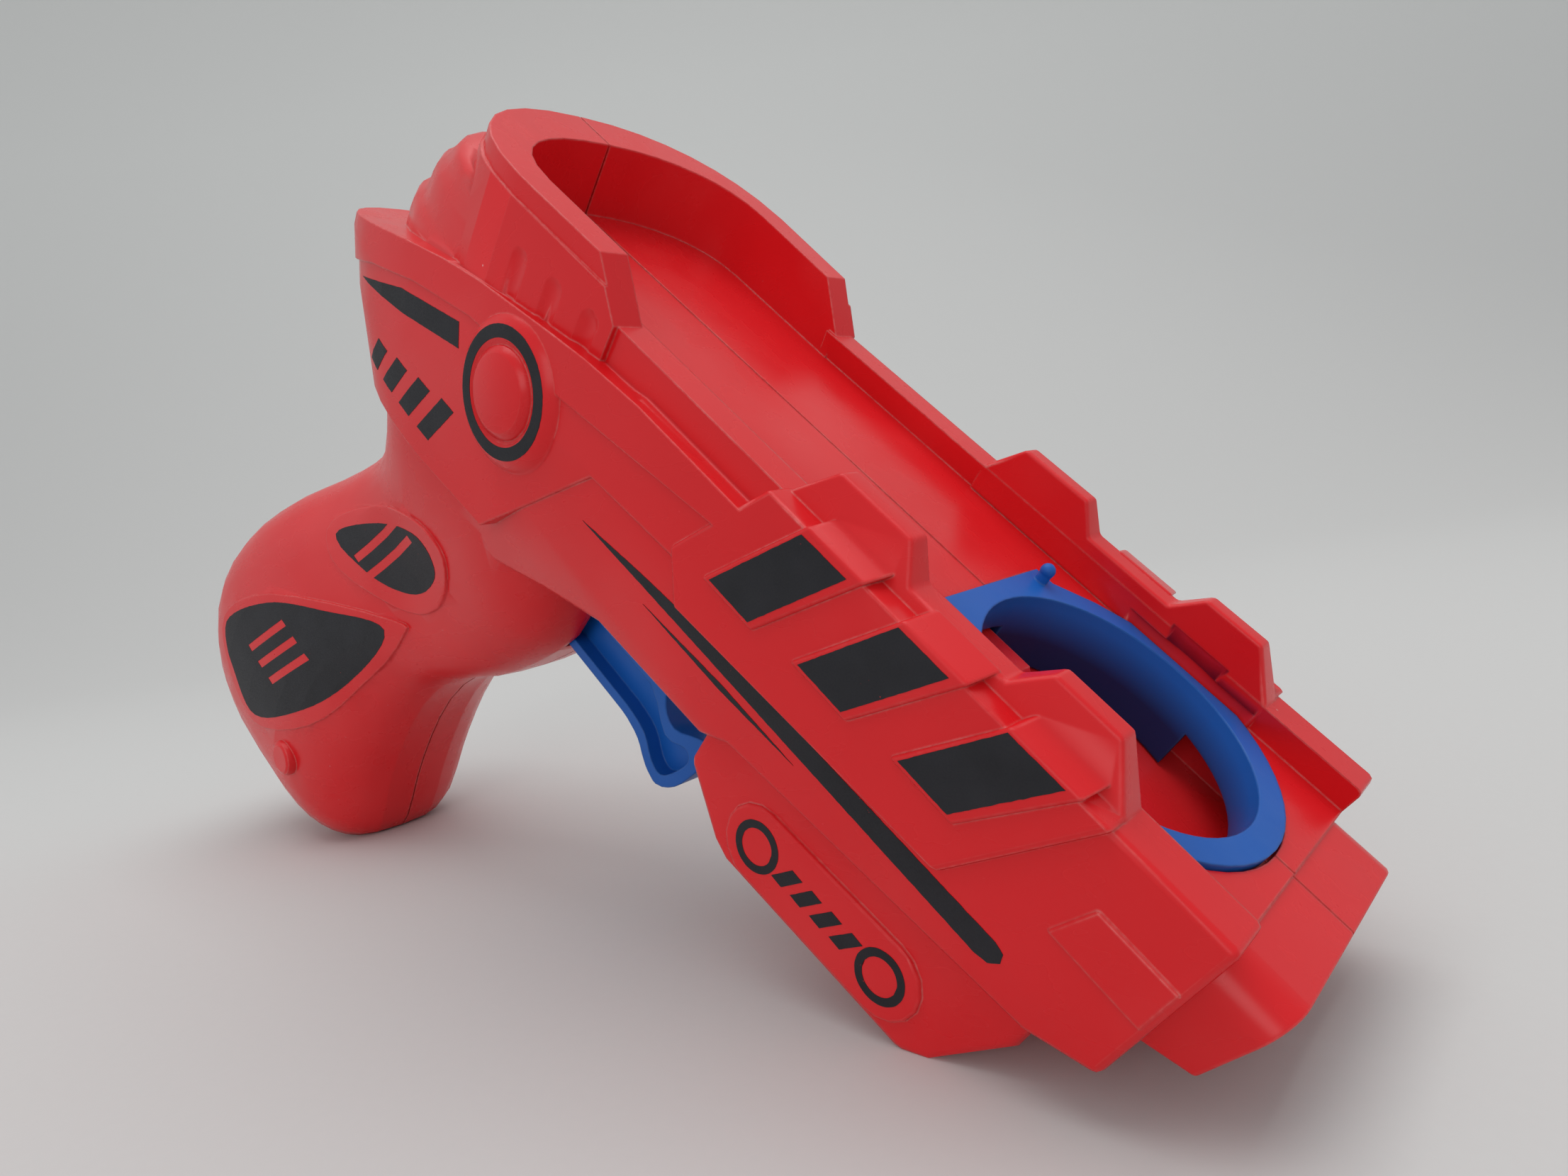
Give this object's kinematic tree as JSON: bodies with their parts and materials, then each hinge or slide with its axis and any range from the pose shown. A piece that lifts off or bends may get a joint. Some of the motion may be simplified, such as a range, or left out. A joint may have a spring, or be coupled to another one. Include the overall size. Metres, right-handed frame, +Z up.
{
  "type": "foam disc launcher",
  "caption": "Toy foam disc launcher: pistol-shaped two-half plastic body with a drop-in disc tube in its deck, a sliding trigger and a spring-driven striker.",
  "frame": {"origin": "middle of the base of the bounding box, on the table, with the launcher standing on its grip and front block", "axes": "+X the way the nose points along the table, +Y to the left of the launcher, +Z up; the barrel dips below +X by the standing angle"},
  "size_m": [0.2196, 0.052, 0.1138],
  "materials": {
    "red_plastic": "satin gloss, slightly see-through red",
    "blue_plastic": "satin gloss blue",
    "white_plastic": "matte",
    "steel": "bright"
  },
  "bodies": {
    "launcher_body": {"right_shell": "red_plastic", "left_shell": "red_plastic", "disc_tube": "blue_plastic", "striker_spring": "steel", "trigger_spring": "steel", "screw_1": "steel", "screw_2": "steel", "screw_3": "steel", "screw_4": "steel", "screw_5": "steel", "screw_6": "steel", "screw_7": "steel", "screw_8": "steel", "screw_9": "steel", "screw_10": "steel"},
    "trigger": {"trigger": "blue_plastic", "pawl_pin": "steel", "pawl_spring": "steel"},
    "striker": {"striker": "red_plastic"},
    "pawl": {"pawl": "white_plastic"}
  },
  "joints": [
    {"name": "trigger_slide", "type": "slide", "parent": "launcher_body", "child": "trigger", "axis": [-0.7204, 0, 0.6935], "range_m": [0, 0.012], "stiffness_N_per_m": 150, "springref_m": -0.006, "deforming": ["trigger_spring"]},
    {"name": "striker_slide", "type": "slide", "parent": "launcher_body", "child": "striker", "axis": [-0.7204, 0, 0.6935], "range_m": [0, 0.012], "stiffness_N_per_m": 120, "springref_m": -0.006, "deforming": ["striker_spring"]},
    {"name": "pawl_pivot", "type": "hinge", "parent": "trigger", "child": "pawl", "pos_m": [0.03493, 0, 0.06272], "axis": [0, 1, 0], "range_deg": [0, 12], "stiffness_Nm_per_rad": 0.02, "springref_deg": -11.46, "deforming": ["pawl_spring"]}
  ],
  "couplings": [
    {"joint": "striker_slide", "follows": "trigger_slide", "ratio": 1}
  ]
}
